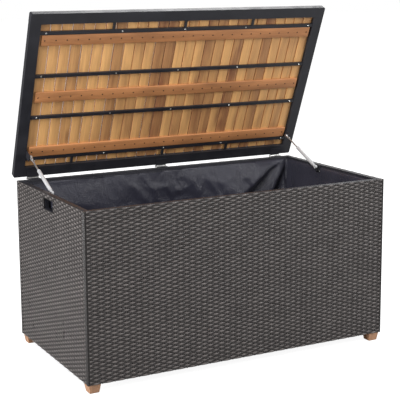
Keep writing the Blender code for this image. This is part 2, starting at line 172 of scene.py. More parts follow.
def add_node(tree, kind, links=None, **settings):
    """Add a node, set its properties, and link or fill its inputs."""
    node = tree.nodes.new(kind)
    for key, value in settings.items():
        setattr(node, key, value)
    for key, value in (links or {}).items():
        if isinstance(value, bpy.types.NodeSocket):
            tree.links.new(value, node.inputs[key])
        else:
            node.inputs[key].default_value = value
    return node


def calc(tree, operation, first, second=0.0, third=0.0):
    """Add a maths node and give its result."""
    node = add_node(tree, "ShaderNodeMath", {0: first, 1: second, 2: third},
                    operation=operation)
    return node.outputs[0]


def vector(tree, x=0.0, y=0.0, z=0.0):
    """Put three numbers together as a vector."""
    return add_node(tree, "ShaderNodeCombineXYZ", {"X": x, "Y": y, "Z": z}).outputs[0]


def shape(tree, kind, links=None, **settings):
    """Add a geometry node and give its first output."""
    return add_node(tree, "GeometryNode" + kind, links, **settings).outputs[0]


def point_row(tree, count, first, step):
    """A row of points."""
    return shape(tree, "MeshLine", {"Count": count, "Start Location": first, "Offset": step})


def stored(tree, geometry, name, value, data_type="FLOAT", domain="POINT"):
    """Keep a value on the geometry under a name."""
    return shape(tree, "StoreNamedAttribute",
                 {"Geometry": geometry, "Name": name, "Value": value},
                 data_type=data_type, domain=domain)


def new_group(name, kind, inputs, outputs):
    """Start a node group: its tree, its inputs by name, and its output node."""
    tree = bpy.data.node_groups.new(name, kind)
    for label, socket_type, default in inputs:
        socket = tree.interface.new_socket(label, in_out="INPUT", socket_type=socket_type)
        if default is not None:
            socket.default_value = default
    for label, socket_type in outputs:
        tree.interface.new_socket(label, in_out="OUTPUT", socket_type=socket_type)
    enter = tree.nodes.new("NodeGroupInput")
    leave = tree.nodes.new("NodeGroupOutput")
    return tree, enter.outputs, leave.inputs


FLOAT, INTEGER = "NodeSocketFloat", "NodeSocketInt"
VECTOR, COLOUR = "NodeSocketVector", "NodeSocketColor"
GEOMETRY, MATERIAL = "NodeSocketGeometry", "NodeSocketMaterial"


def shape_tree(name, inputs):
    """Start a geometry tree with the given inputs and one for its material."""
    return new_group(name, "GeometryNodeTree", [*inputs, ("Material", MATERIAL, None)],
                     [("Geometry", GEOMETRY)])


def put_out(tree, given, result, geometry):
    """End a geometry tree with real geometry in its material."""
    geometry = shape(tree, "RealizeInstances", {"Geometry": geometry})
    geometry = shape(tree, "SetMaterial",
                     {"Geometry": geometry, "Material": given["Material"]})
    tree.links.new(geometry, result[0])
    return tree


def held(data):
    """Put data on an object of its own while its shape is worked out."""
    holder = bpy.data.objects.new("held", data)
    bpy.context.scene.collection.objects.link(holder)
    return holder


def settled(holder):
    """Give a held object's evaluated shape as a plain mesh, and drop the object."""
    bpy.context.view_layer.update()
    graph = bpy.context.evaluated_depsgraph_get()
    mesh = bpy.data.meshes.new_from_object(holder.evaluated_get(graph),
                                           preserve_all_data_layers=True, depsgraph=graph)
    bpy.data.objects.remove(holder)
    return mesh


def grow(tree, values, source=None):
    """Run a geometry tree once and give its result as a plain mesh that faces outward."""
    holder = held(source or bpy.data.meshes.new("grown"))
    modifier = holder.modifiers.new("Nodes", "NODES")
    modifier.node_group = tree
    sockets = {item.name: item.identifier for item in tree.interface.items_tree
               if item.item_type == "SOCKET" and item.in_out == "INPUT"}
    for label, value in values.items():
        modifier[sockets[label]] = value
    mesh = settled(holder)
    bm = bmesh.new()
    bm.from_mesh(mesh)
    if bm.calc_volume(signed=True) < 0:
        bmesh.ops.reverse_faces(bm, faces=bm.faces)
        bm.to_mesh(mesh)
    bm.free()
    return mesh


# ---------------------------------------------------------------- geometry trees

def weave_tree():
    """Flat strands that swing in front of and behind upright stakes, in X and Z, front at -Y."""
    tree, given, result = shape_tree("Flat Strand Weave", [
        ("Left", FLOAT, -0.5), ("Right", FLOAT, 0.5), ("Bottom", FLOAT, 0.0),
        ("First Row", INTEGER, 0), ("Rows", INTEGER, 10), ("Row Pitch", FLOAT, 0.007),
        ("Stake Pitch", FLOAT, 0.022), ("Stake Width", FLOAT, 0.0045),
        ("Stake Thickness", FLOAT, 0.001), ("Samples", INTEGER, 100),
        ("Strand Height", FLOAT, 0.0068), ("Strand Thickness", FLOAT, 0.0022),
        ("Sway", FLOAT, 0.00175), ("Seed", INTEGER, 1)])
    row_pitch, stake_pitch = given["Row Pitch"], given["Stake Pitch"]
    # One straight strand, repeated up the face
    line = shape(tree, "CurvePrimitiveLine", {"Start": vector(tree, given["Left"]),
                                              "End": vector(tree, given["Right"])})
    line = shape(tree, "ResampleCurve", {"Curve": line, "Count": given["Samples"]})
    half_up = calc(tree, "ADD", given["First Row"], 0.5)
    first_z = calc(tree, "MULTIPLY_ADD", half_up, row_pitch, given["Bottom"])
    column = point_row(tree, given["Rows"], vector(tree, z=first_z),
                       vector(tree, z=row_pitch))
    strands = shape(tree, "InstanceOnPoints", {"Points": column, "Instance": line})
    strands = shape(tree, "RealizeInstances", {"Geometry": strands})
    # Swing by the row's number and the place along it, and let each strand wander a little
    where = shape(tree, "InputPosition")
    parts = add_node(tree, "ShaderNodeSeparateXYZ", {"Vector": where}).outputs
    height = calc(tree, "SUBTRACT", parts["Z"], given["Bottom"])
    row = calc(tree, "FLOOR", calc(tree, "DIVIDE", height, row_pitch))
    phase = calc(tree, "ADD", calc(tree, "DIVIDE", parts["X"], stake_pitch), row)
    swing = calc(tree, "COSINE", calc(tree, "MULTIPLY", phase, pi))
    wander = add_node(tree, "ShaderNodeTexNoise", {"Vector": where, "Scale": 34.0,
                                                   "Detail": 1.0}).outputs[0]
    uneven = calc(tree, "MULTIPLY_ADD", wander, 0.3, 0.75)
    sideways = calc(tree, "MULTIPLY", calc(tree, "MULTIPLY", swing, given["Sway"]), uneven)
    lift = calc(tree, "MULTIPLY", calc(tree, "SUBTRACT", wander, 0.5), 0.0006)
    tone = add_node(tree, "FunctionNodeRandomValue", {"ID": row, "Seed": given["Seed"]})
    # The swing is kept for the strand material's painted highlight and painted shade
    for label, value in (("tone", tone.outputs[1]), ("swing", swing)):
        strands = stored(tree, strands, label, value)
    strands = shape(tree, "SetPosition", {"Geometry": strands,
                                          "Offset": vector(tree, y=sideways, z=lift)})
    strands = shape(tree, "SetCurveNormal", {"Curve": strands}, mode="Z_UP")
    strands = shape(tree, "SetCurveRadius", {
        "Curve": strands, "Radius": calc(tree, "MULTIPLY_ADD", swing, -0.14, 1.0)})
    flat = vector(tree, given["Strand Thickness"], given["Strand Height"], 1.0)
    ring = shape(tree, "CurvePrimitiveCircle", {"Resolution": 8, "Radius": 0.5})
    ring = shape(tree, "Transform", {"Geometry": ring, "Scale": flat})
    strands = shape(tree, "CurveToMesh", {"Curve": strands, "Profile Curve": ring,
                                          "Fill Caps": True})
    strands = shape(tree, "SetShadeSmooth", {"Geometry": strands})
    # Upright stakes, one at each crossing; with no swing of their own they take the strand
    # material's full painted shade
    first = calc(tree, "CEIL", calc(tree, "DIVIDE", given["Left"], stake_pitch))
    last = calc(tree, "FLOOR", calc(tree, "DIVIDE", given["Right"], stake_pitch))
    count = calc(tree, "ADD", calc(tree, "SUBTRACT", last, first), 1.0)
    rise = calc(tree, "MULTIPLY", given["Rows"], row_pitch)
    low = calc(tree, "MULTIPLY_ADD", given["First Row"], row_pitch, given["Bottom"])
    start = vector(tree, calc(tree, "MULTIPLY", first, stake_pitch),
                   z=calc(tree, "MULTIPLY_ADD", rise, 0.5, low))
    places = point_row(tree, count, start, vector(tree, stake_pitch))
    size = vector(tree, given["Stake Width"], given["Stake Thickness"], rise)
    stake = shape(tree, "MeshCube", {"Size": size})
    stakes = shape(tree, "InstanceOnPoints", {"Points": places, "Instance": stake})
    both = add_node(tree, "GeometryNodeJoinGeometry")
    tree.links.new(strands, both.inputs[0])
    tree.links.new(stakes, both.inputs[0])
    return put_out(tree, given, result, both.outputs[0])


def board_tree():
    """A row of boards along Y, spaced along X about the middle, lying from Z 0 up."""
    tree, given, result = shape_tree("Board Row", [
        ("Count", INTEGER, 27), ("Pitch", FLOAT, 0.04), ("Width", FLOAT, 0.039),
        ("Length", FLOAT, 0.5), ("Thickness", FLOAT, 0.011), ("Edge", FLOAT, 0.0015),
        ("Narrowest", FLOAT, 0.95), ("Widest", FLOAT, 0.98), ("Seed", INTEGER, 3)])
    outline = shape(tree, "CurvePrimitiveQuadrilateral",
                    {"Width": given["Width"], "Height": given["Thickness"]})
    outline = shape(tree, "FilletCurve", {"Curve": outline, "Radius": given["Edge"],
                                          "Count": 3}, mode="POLY")
    half = calc(tree, "MULTIPLY", given["Length"], 0.5)
    start = vector(tree, y=calc(tree, "MULTIPLY", half, -1.0))
    line = shape(tree, "CurvePrimitiveLine", {"Start": start, "End": vector(tree, y=half)})
    line = shape(tree, "ResampleCurve", {"Curve": line, "Count": 9})
    line = shape(tree, "SetCurveNormal", {"Curve": line}, mode="Z_UP")
    board = shape(tree, "CurveToMesh", {"Curve": line, "Profile Curve": outline,
                                        "Fill Caps": True})
    spread = calc(tree, "MULTIPLY", calc(tree, "SUBTRACT", given["Count"], 1.0), -0.5)
    first = vector(tree, calc(tree, "MULTIPLY", spread, given["Pitch"]),
                   z=calc(tree, "MULTIPLY", given["Thickness"], 0.5))
    places = point_row(tree, given["Count"], first, vector(tree, given["Pitch"]))
    share = add_node(tree, "FunctionNodeRandomValue", {
        2: given["Narrowest"], 3: given["Widest"], "Seed": given["Seed"]}).outputs[1]
    boards = shape(tree, "InstanceOnPoints", {"Points": places, "Instance": board,
                                              "Scale": vector(tree, share, 1.0, 1.0)})
    boards = stored(tree, boards, "board", shape(tree, "InputIndex"), "INT", "INSTANCE")
    return put_out(tree, given, result, boards)


def screw_tree():
    """A socketed screw head on each point of a mesh, standing along Z."""
    tree, given, result = shape_tree("Screw Heads", [
        ("Points", GEOMETRY, None), ("Radius", FLOAT, 0.003), ("Height", FLOAT, 0.001)])
    radius, height = given["Radius"], given["Height"]
    head = shape(tree, "MeshCone", {"Vertices": 14, "Radius Bottom": radius, "Depth": height,
                                    "Radius Top": calc(tree, "MULTIPLY", radius, 0.72)})
    socket = shape(tree, "MeshCylinder", {
        "Vertices": 6, "Depth": calc(tree, "MULTIPLY", height, 2.0),
        "Radius": calc(tree, "MULTIPLY", radius, 0.42)})
    up = vector(tree, z=calc(tree, "MULTIPLY", height, 1.35))
    socket = shape(tree, "Transform", {"Geometry": socket, "Translation": up})
    head = shape(tree, "MeshBoolean", {"Mesh 1": head, "Mesh 2": socket},
                 operation="DIFFERENCE")
    heads = shape(tree, "InstanceOnPoints", {"Points": given["Points"], "Instance": head})
    return put_out(tree, given, result, heads)


def stitch_tree():
    """Short rounded stitches laid end to end along the edges of a closed wire."""
    tree, given, result = shape_tree("Stitches", [
        ("Path", GEOMETRY, None), ("Stitch", FLOAT, 0.006), ("Thread", FLOAT, 0.0004)])
    path = shape(tree, "MeshToCurve", {"Mesh": given["Path"]})
    points = add_node(tree, "GeometryNodeCurveToPoints",
                      {"Curve": path, "Length": given["Stitch"]}, mode="LENGTH")
    stitch = shape(tree, "MeshUVSphere", {"Segments": 6, "Rings": 4,
                                          "Radius": given["Thread"]})
    stretch = calc(tree, "DIVIDE", calc(tree, "MULTIPLY", given["Stitch"], 0.4),
                   given["Thread"])
    stitches = shape(tree, "InstanceOnPoints", {
        "Points": points.outputs[0], "Instance": stitch,
        "Rotation": points.outputs["Rotation"], "Scale": vector(tree, 1.0, 1.0, stretch)})
    return put_out(tree, given, result, stitches)


# ---------------------------------------------------------------- materials

def mix_colours(tree, factor, first, second):
    """Mix two colours and give the result."""
    node = add_node(tree, "ShaderNodeMix", {0: factor, 6: first, 7: second}, data_type="RGBA")
    return node.outputs[2]


def stretched_noise(tree, vector, scale, detail=3.0, roughness=0.55, distortion=0.0):
    """Noise over a vector that is stretched by three scales, given as a value."""
    mapping = add_node(tree, "ShaderNodeMapping", {"Vector": vector, "Scale": scale})
    node = add_node(tree, "ShaderNodeTexNoise",
                    {"Vector": mapping.outputs[0], "Scale": 1.0, "Detail": detail,
                     "Roughness": roughness, "Distortion": distortion})
    return node.outputs[0]


def remap(tree, value, low, high, out_low=0.0, out_high=1.0):
    """Stretch a value's range to another and clamp it."""
    node = add_node(tree, "ShaderNodeMapRange", {0: value, 1: low, 2: high, 3: out_low,
                                                 4: out_high})
    return node.outputs[0]


def wood_group():
    """Board wood: soft figure, fine streaks and open pores along X, from pale to brown."""
    tree, given, result = new_group(
        "Board Wood", "ShaderNodeTree",
        [("Vector", VECTOR, None), ("Tone", FLOAT, 0.3), ("Pale", COLOUR, (0.7, 0.4, 0.2, 1)),
         ("Brown", COLOUR, (0.14, 0.06, 0.03, 1))],
        [("Color", COLOUR), ("Roughness", FLOAT), ("Height", FLOAT)])
    place = given["Vector"]
    figure = stretched_noise(tree, place, (2.2, 32, 32), 3.0, 0.5, 0.6)
    rings = calc(tree, "PINGPONG", calc(tree, "MULTIPLY", figure, 9.0), 1.0)
    streaks = stretched_noise(tree, place, (5, 420, 420), 4.0, 0.6)
    pores = remap(tree, stretched_noise(tree, place, (38, 1300, 1300), 2.0, 0.6), 0.6, 0.72)
    blotch = stretched_noise(tree, place, (5, 17, 17), 2.0, 0.5)
    spots = add_node(tree, "ShaderNodeMapping", {"Vector": place, "Scale": (4.5, 15, 15)})
    spots = add_node(tree, "ShaderNodeTexVoronoi", {"Vector": spots.outputs[0], "Scale": 1.0})
    knots = remap(tree, spots.outputs["Distance"], 0.17, 0.05)
    tone = calc(tree, "MULTIPLY_ADD", given["Tone"], 0.62, 0.02)
    for value, low, high, least, most in ((figure, 0.34, 0.68, -0.06, 0.16),
                                          (streaks, 0.32, 0.68, -0.05, 0.12),
                                          (blotch, 0.42, 0.70, -0.05, 0.25)):
        tone = calc(tree, "ADD", tone, remap(tree, value, low, high, least, most))
    for value, share in ((rings, 0.10), (pores, 0.16), (knots, 0.22)):
        tone = calc(tree, "MULTIPLY_ADD", value, share, tone)
    tone = remap(tree, tone, 0.0, 1.0)
    tree.links.new(mix_colours(tree, tone, given["Pale"], given["Brown"]), result["Color"])
    tree.links.new(remap(tree, streaks, 0.3, 0.7, 0.42, 0.58), result["Roughness"])
    height = calc(tree, "MULTIPLY_ADD", pores, -0.8, calc(tree, "MULTIPLY", streaks, 0.9))
    tree.links.new(height, result["Height"])
    return tree


def grain_group():
    """Fine even grain of a coat or a moulded skin: a tint from 0 to 1, roughness and height."""
    tree, given, result = new_group(
        "Fine Grain", "ShaderNodeTree",
        [("Vector", VECTOR, None), ("Scale", FLOAT, 900.0), ("Rough Low", FLOAT, 0.35),
         ("Rough High", FLOAT, 0.5)],
        [("Tint", FLOAT), ("Roughness", FLOAT), ("Height", FLOAT)])
    fine, broad = (add_node(tree, "ShaderNodeTexNoise", {
        "Vector": given["Vector"], "Scale": scale, "Detail": detail}).outputs[0]
        for scale, detail in ((given["Scale"], 2.0),
                              (calc(tree, "MULTIPLY", given["Scale"], 0.02), 3.0)))
    tint = remap(tree, broad, 0.3, 0.7)
    spread = calc(tree, "SUBTRACT", given["Rough High"], given["Rough Low"])
    roughness = calc(tree, "MULTIPLY_ADD", tint, spread, given["Rough Low"])
    for label, value in (("Tint", tint), ("Roughness", roughness), ("Height", fine)):
        tree.links.new(value, result[label])
    return tree


GROUPS = {}


def group_node(tree, make, links):
    """Place a shared group, building it the first time it is asked for."""
    if make not in GROUPS:
        GROUPS[make] = make()
    return add_node(tree, "ShaderNodeGroup", links, node_tree=GROUPS[make])


def object_place(tree):
    """Give a point's place on its piece."""
    return add_node(tree, "ShaderNodeTexCoord").outputs["Object"]


def own(tree, name, output="Fac"):
    """Give the value or vector that the mesh keeps under a name."""
    return add_node(tree, "ShaderNodeAttribute", attribute_name=name).outputs[output]


def add_grain(tree, shader, place, scale, low, high):
    """Roughen a shader by the fine grain, and give the grain's outputs."""
    grain = group_node(tree, grain_group, {"Vector": place, "Scale": scale,
                                           "Rough Low": low, "Rough High": high}).outputs
    tree.links.new(grain["Roughness"], shader.inputs["Roughness"])
    return grain


def start_material(name, **sockets):
    """Start a material and give it with its tree and its Principled shader."""
    material = bpy.data.materials.new(name)
    material.use_nodes = True
    tree = material.node_tree
    shader = tree.nodes["Principled BSDF"]
    for key, value in sockets.items():
        shader.inputs[key.replace("_", " ")].default_value = value
    return material, tree, shader


def add_bump(tree, shader, height, distance, strength):
    """Feed a height to the shader's normal."""
    bump = add_node(tree, "ShaderNodeBump", {"Height": height, "Distance": distance,
                                             "Strength": strength})
    tree.links.new(bump.outputs[0], shader.inputs["Normal"])


def tinted(tree, shader, tint, first, second):
    """Feed the shader a colour between two, by a tint."""
    colour = mix_colours(tree, tint, (*first, 1), (*second, 1))
    tree.links.new(colour, shader.inputs["Base Color"])


def strand_material(name, light, dark):
    """Moulded flat strand: ribs along it, its own tone, a painted highlight where it stands
    forward and painted shade where it sinks back.
    """
    material, tree, shader = start_material(name)
    place = object_place(tree)
    grain = add_grain(tree, shader, place, 700.0, 0.26, 0.38)
    ribs = stretched_noise(tree, place, (18, 18, 1500), 1.0)
    swing = own(tree, "swing")
    tone = calc(tree, "MULTIPLY_ADD", own(tree, "tone"), 0.2,
                calc(tree, "MULTIPLY", grain["Tint"], 0.25))
    # The swing paints light into the colour: a painted highlight on the forward crest and painted
    # shade where the strand goes behind, deepest at the back; pieces with no swing, the stakes and
    # bindings, take the full painted shade.
    for value, low, high, least, most in ((ribs, 0.3, 0.7, 0.0, 0.25),
                                          (swing, 0.0, -0.95, -0.45, 0.42),
                                          (swing, 0.2, 0.9, 0.0, -0.1)):
        tone = calc(tree, "ADD", tone, remap(tree, value, low, high, least, most))
    tinted(tree, shader, remap(tree, tone, 0.0, 1.0), dark, light)
    add_bump(tree, shader, calc(tree, "MULTIPLY_ADD", grain["Height"], 0.3, ribs), 0.0003, 0.7)
    return material


def coat_material(name, colour, lighter=1.5, scale=800.0, low=0.38, high=0.5):
    """Powder coat or paint: orange-peel grain and a slight drift of tone."""
    material, tree, shader = start_material(name)
    grain = add_grain(tree, shader, object_place(tree), scale, low, high)
    tinted(tree, shader, grain["Tint"], colour, [min(1, c * lighter) for c in colour])
    add_bump(tree, shader, grain["Height"], 0.00012, 0.6)
    return material


def brushed_material(name, colour, direction, low=0.22, high=0.4):
    """Drawn or brushed metal, with its scratches stretched along one direction."""
    material, tree, shader = start_material(name, Metallic=1.0)
    scale = [60 if index == direction else 2500 for index in range(3)]
    scratches = stretched_noise(tree, object_place(tree), scale)
    tinted(tree, shader, scratches, [c * 0.75 for c in colour], colour)
    tree.links.new(remap(tree, scratches, 0.3, 0.7, low, high), shader.inputs["Roughness"])
    add_bump(tree, shader, scratches, 0.00005, 0.5)
    return material


def wood_material(name, pale, brown):
    """Oiled hardwood that follows each board's own grain and tone."""
    material, tree, shader = start_material(name, Coat_Weight=0.12, Coat_Roughness=0.35)
    wood = group_node(tree, wood_group, {
        "Vector": own(tree, "grain", "Vector"), "Tone": own(tree, "tone"),
        "Pale": (*pale, 1), "Brown": (*brown, 1)}).outputs
    tree.links.new(wood["Color"], shader.inputs["Base Color"])
    tree.links.new(wood["Roughness"], shader.inputs["Roughness"])
    add_bump(tree, shader, wood["Height"], 0.0003, 0.5)
    return material


def cloth_material(name, colour):
    """Coated plain-weave cloth: crossing yarns, soft creases and a low shine."""
    material, tree, shader = start_material(name, Sheen_Weight=0.04, Sheen_Roughness=0.5)
    place = object_place(tree)
    grain = add_grain(tree, shader, place, 420.0, 0.24, 0.36)
    tinted(tree, shader, grain["Tint"], colour, [c * 1.3 for c in colour])
    yarns = [add_node(tree, "ShaderNodeTexWave", {
        "Vector": place, "Scale": 300.0, "Distortion": 0.6, "Detail": 1.0},
        bands_direction=direction).outputs["Fac"] for direction in "XYZ"]
    weave = calc(tree, "ADD", calc(tree, "ADD", yarns[0], yarns[1]), yarns[2])
    crease = stretched_noise(tree, place, (26, 26, 15), 5.0, 0.62, 0.8)
    add_bump(tree, shader, calc(tree, "MULTIPLY_ADD", weave, 0.035, crease), 0.006, 0.55)
    return material


# ---------------------------------------------------------------- mesh helpers

def add_piece(name, mesh, material, body, replaces=()):
    """Show a finished mesh as a piece that rides on a body."""
    piece = bpy.data.objects.new(name, mesh)
    mesh.name = name
    mesh.materials.clear()
    mesh.materials.append(material)
    bpy.context.scene.collection.objects.link(piece)
    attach(piece, body)
    if replaces:
        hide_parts(*replaces)
    return piece


def mesh_from(bm, name):
    """Turn a bmesh into a mesh and free it."""
    mesh = bpy.data.meshes.new(name)
    bm.to_mesh(mesh)
    bm.free()
    return mesh


def joined(meshes, name):
    """Put several meshes together as one."""
    bm = bmesh.new()
    for mesh in meshes:
        bm.from_mesh(mesh)
    return mesh_from(bm, name)


def crisp(mesh, angle):
    """Shade a mesh smooth, with its edges past an angle kept sharp."""
    mesh.shade_smooth()
    mesh.set_sharp_from_angle(angle=radians(angle))


def bridge(bm, loops, closed=False):
    """Join closed loops of points with faces, and give the loops' vertices."""
    rings = [[bm.verts.new(at) for at in loop] for loop in loops]
    for first, second in zip(rings, rings[1:] + rings[:1] * closed):
        for i in range(len(first)):
            j = (i + 1) % len(first)
            bm.faces.new((first[i], first[j], second[j], second[i]))
    return rings


def rounded(mesh, width):
    """Round a mesh's edges, with flat faces that stay flat to the eye."""
    holder = held(mesh)
    edges = holder.modifiers.new("Edges", "BEVEL")
    edges.width = width
    edges.segments = 3
    edges.limit_method = "ANGLE"
    edges.angle_limit = radians(35)
    mesh.shade_smooth()
    weights = holder.modifiers.new("Normals", "WEIGHTED_NORMAL")
    weights.weight = 100
    weights.keep_sharp = True
    return settled(holder)


def cleaned_copy(node):
    """Give a merged copy of a CAD node's mesh with its flat faces made whole."""
    bm = bmesh.new()
    bm.from_mesh(frame["nodes"][node].data)
    bmesh.ops.remove_doubles(bm, verts=bm.verts, dist=0.00002)
    bmesh.ops.dissolve_limit(bm, angle_limit=radians(1.5), verts=bm.verts, edges=bm.edges)
    return mesh_from(bm, node + "_copy")


def lathe(profile, place):
    """Turn (radius, height) points about Z into a closed mesh; the ends are on the axis."""
    steps = 40
    bm = bmesh.new()
    rings = []
    for radius, height in profile:
        count = 1 if radius == 0 else steps
        rings.append([bm.verts.new((radius * cos(2 * pi * i / count),
                                    radius * sin(2 * pi * i / count), height))
                      for i in range(count)])
    for low, high in zip(rings, rings[1:]):
        for i in range(steps):
            j = (i + 1) % steps
            corners = [low[i % len(low)], low[j % len(low)], high[j % len(high)],
                       high[i % len(high)]]
            bm.faces.new(list(dict.fromkeys(corners)))
    bmesh.ops.recalc_face_normals(bm, faces=bm.faces)
    mesh = mesh_from(bm, "lathe")
    mesh.transform(place)
    crisp(mesh, 40)
    return mesh


def tube(points, radius, cyclic=False, flatten=(1, 1, 1)):
    """Sweep a round cord along points, then squeeze it by a scale."""
    curve = bpy.data.curves.new("tube", "CURVE")
    curve.dimensions = "3D"
    curve.bevel_depth = radius
    curve.bevel_resolution = 3
    curve.use_fill_caps = True
    spline = curve.splines.new("POLY")
    spline.points.add(len(points) - 1)
    for point, at in zip(spline.points, points):
        point.co = (*at, 1)
    spline.use_cyclic_u = cyclic
    bm = bmesh.new()
    bm.from_mesh(settled(held(curve)))
    bmesh.ops.remove_doubles(bm, verts=bm.verts, dist=0.00001)
    bmesh.ops.recalc_face_normals(bm, faces=bm.faces)
    mesh = mesh_from(bm, "tube")
    mesh.transform(Matrix.Diagonal((*flatten, 1)))
    crisp(mesh, 50)
    return mesh


def set_number(mesh, name, values, kind="FLOAT"):
    """Store one value or vector for each point of a mesh."""
    attribute = mesh.attributes.get(name) or mesh.attributes.new(name, kind, "POINT")
    field = "vector" if kind == "FLOAT_VECTOR" else "value"
    attribute.data.foreach_set(field, np.asarray(values, np.float32).ravel())


def point_table(mesh):
    """Give a mesh's points as an array."""
    table = np.zeros(len(mesh.vertices) * 3, np.float32)
    mesh.vertices.foreach_get("co", table)
    return table.reshape(-1, 3)


def lid_point(x, along, height):
    """Give a point of the shut lid in the hinge's own frame."""
    return Vector((x, -(LID_EDGE + along), LID_LIFT + height))


def side_places():
    """Give each woven side's half width and its place from the weave's own frame."""
    depth = SKIN / 2
    half_end = (END_HIGH.y - END_LOW.y) / 2
    sides = {"front": (HALF_WIDTH, 0, BODY_LOW.y + depth, 0),
             "back": (HALF_WIDTH, 0, BODY_HIGH.y - depth, pi),
             "left": (half_end, depth - HALF_WIDTH, MIDDLE_Y, -pi / 2),
             "right": (half_end, HALF_WIDTH - depth, MIDDLE_Y, pi / 2)}
    return {side: (half, Matrix.Translation((x, y, 0)) @ Matrix.Rotation(turn, 4, "Z"))
            for side, (half, x, y, turn) in sides.items()}


# ---------------------------------------------------------------- operators

class DECKBOX_OT_weave(bpy.types.Operator):
    """Weave the four faces: strands in front of and behind stakes, with bound edges"""
    bl_idname = "deckbox.weave"
    bl_label = "Woven Faces"
    BORDER = 9 * MM
    HOLE_BORDER = 2 * MM
    STAKE_WIDTH, STAKE_THICKNESS = 4.5 * MM, 1 * MM
    STRAND_GAP = 0.25 * MM
    SEGMENTS = 4

    def patch(self, tree, settings, material, half, left, right, first, rows):
        """Weave one rectangle of a face, in step with the rest of that face."""
        weavable = 2 * (half - self.BORDER)
        stake = weavable / round(weavable / settings.stake_pitch)
        row = (RIM_Z - FOOT_HEIGHT) / settings.rows
        return grow(tree, {
            "Left": left, "Right": right, "Bottom": FOOT_HEIGHT, "First Row": first,
            "Rows": rows, "Row Pitch": row, "Stake Pitch": stake,
            "Stake Width": self.STAKE_WIDTH, "Stake Thickness": self.STAKE_THICKNESS,
            "Samples": round((right - left) / stake * self.SEGMENTS) + 1,
            "Strand Height": row - self.STRAND_GAP, "Sway": settings.sway,
            "Strand Thickness": settings.strand_thickness, "Seed": 7, "Material": material})

    def execute(self, context):
        settings = context.scene.deckbox_weave
        tree = weave_tree()
        strand = strand_material("woven_resin_strand", settings.light, settings.dark)
        # The bindings have no swing, so besides their darker colour they take the strand
        # material's full painted shade
        binding = strand_material("bound_resin_edge", settings.dark, settings.dark * 0.6)
        rows = settings.rows
        row = (RIM_Z - FOOT_HEIGHT) / rows
        below = int((HOLE_LOW - self.HOLE_BORDER - FOOT_HEIGHT) / row)
        above = rows - int((RIM_Z - HOLE_TOP - self.HOLE_BORDER) / row)
        clear = HOLE_HALF + self.HOLE_BORDER
        for side, (half, place) in side_places().items():
            edge = half - self.BORDER
            if side in ("front", "back"):
                layout = {"lower": [(-edge, edge, 0, rows // 2)],
                          "upper": [(-edge, edge, rows // 2, rows - rows // 2)]}
            else:
                layout = {"whole": [(-edge, edge, 0, below),
                                    (-edge, -clear, below, above - below),
                                    (clear, edge, below, above - below),
                                    (-edge, edge, above, rows - above)]}
            for part, patches in layout.items():
                mesh = joined([self.patch(tree, settings, strand, half, *patch)
                               for patch in patches], "weave")
                mesh.transform(place)
                add_piece("%s_weave_%s" % (side, part), mesh, strand, "box",
                          [side + "_wicker"])
            self.bind(side, half, place, binding)
        return {"FINISHED"}

    def bind(self, side, half, place, material):
        """Bind a face's upright edges, and the hand hole where it has one."""
        cord = SKIN / 2 - 0.1 * MM
        low, high = FOOT_HEIGHT + 0.5 * MM, RIM_Z - 0.5 * MM
        meshes = []
        for sign in (-1, 1):
            for inset, width in ((3.2, 1.0), (7.4, 0.62)):
                x = sign * (half - inset * MM) / width
                meshes.append(tube([(x, 0, low), (x, 0, high)], cord, flatten=(width, 1, 1)))
        if side in ("left", "right"):
            out = HOLE_HALF + cord
            ring = [(-out, 0, HOLE_LOW - cord), (out, 0, HOLE_LOW - cord),
                    (out, 0, HOLE_TOP + cord), (-out, 0, HOLE_TOP + cord)]
            meshes.append(tube(ring, cord, cyclic=True))
        mesh = joined(meshes, "binding")
        mesh.transform(place)
        add_piece(side + "_edge_binding", mesh, material, "box")


class DECKBOX_OT_frames(bpy.types.Operator):
    """Round and coat the tube frames behind the weave, and the base frame"""
    bl_idname = "deckbox.frames"
    bl_label = "Body Frames"

    def execute(self, context):
        coat = coat_material("frame_coat", context.scene.deckbox_lid.coat)
        for node in ("front_panel_frame", "back_panel_frame", "left_end_frame",
                     "right_end_frame", "base_frame"):
            mesh = rounded(cleaned_copy(node), 1.6 * MM)
            add_piece(node + "_tubes", mesh, coat, "box", [node])
        return {"FINISHED"}


class DECKBOX_OT_lid_frame(bpy.types.Operator):
    """Round and coat the lid's frame with its cross bars, stubs and strut tabs"""
    bl_idname = "deckbox.lid_frame"
    bl_label = "Lid Frame"

    def execute(self, context):
        coat = coat_material("lid_coat", context.scene.deckbox_lid.coat)
        mesh = rounded(cleaned_copy("lid_frame"), 1.2 * MM)
        add_piece("lid_frame_tubes", mesh, coat, "lid", ["lid_frame"])
        return {"FINISHED"}


